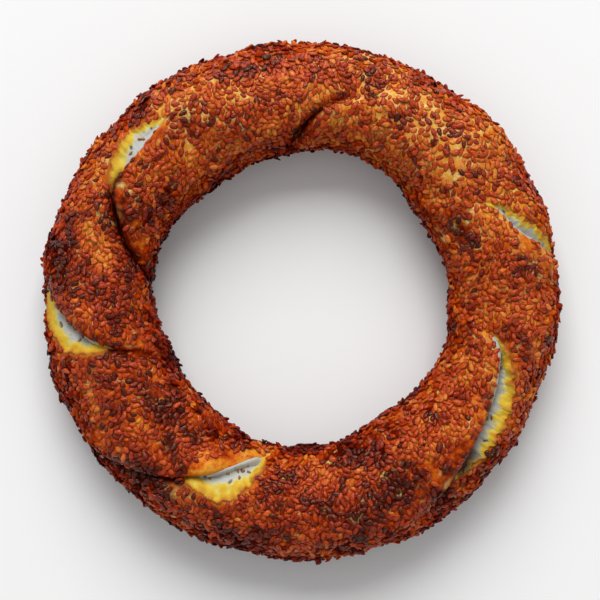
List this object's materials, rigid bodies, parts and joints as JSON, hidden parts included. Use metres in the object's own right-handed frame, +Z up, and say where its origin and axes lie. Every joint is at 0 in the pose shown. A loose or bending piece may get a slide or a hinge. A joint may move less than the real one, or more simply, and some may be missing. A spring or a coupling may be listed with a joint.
{
  "type": "simit",
  "caption": "Twisted sesame-crusted bread ring with a flat base, torn open in places along its grooves.",
  "frame": {"origin": "bottom centre of the ring, on the surface it lies on", "axes": "+Z up through the ring's hole; +X and +Y across the ring, with no front"},
  "size_m": [0.1598, 0.1608, 0.0307],
  "materials": {
    "crust": "baked bread crust, red-brown to gold, glazed with grape molasses",
    "sesame": "toasted hulled sesame seeds, red-brown, glossy",
    "crumb": "torn white bread crumb"
  },
  "bodies": {
    "root": {"bread_ring": "crust"}
  },
  "joints": []
}
